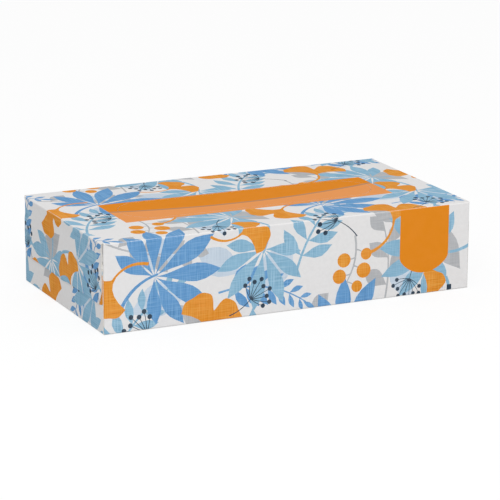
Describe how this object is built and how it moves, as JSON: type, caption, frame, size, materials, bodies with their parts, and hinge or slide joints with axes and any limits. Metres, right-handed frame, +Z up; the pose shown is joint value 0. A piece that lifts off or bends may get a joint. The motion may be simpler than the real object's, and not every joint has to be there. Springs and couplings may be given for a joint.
{
  "type": "facial tissue box",
  "caption": "Flat closed carton of facial tissues, folded from printed board, with glued end flaps and a dotted tear-out oval in the top.",
  "frame": {"origin": "middle of the base, on the surface the carton stands on", "axes": "+X along the carton, the front panel faces -Y, +Z up through the top panel"},
  "size_m": [0.232, 0.122, 0.052],
  "materials": {
    "printed_board": "coated folding boxboard, white with orange, blue and grey print, satin"
  },
  "bodies": {
    "root": {"carton": "printed_board"}
  },
  "joints": []
}
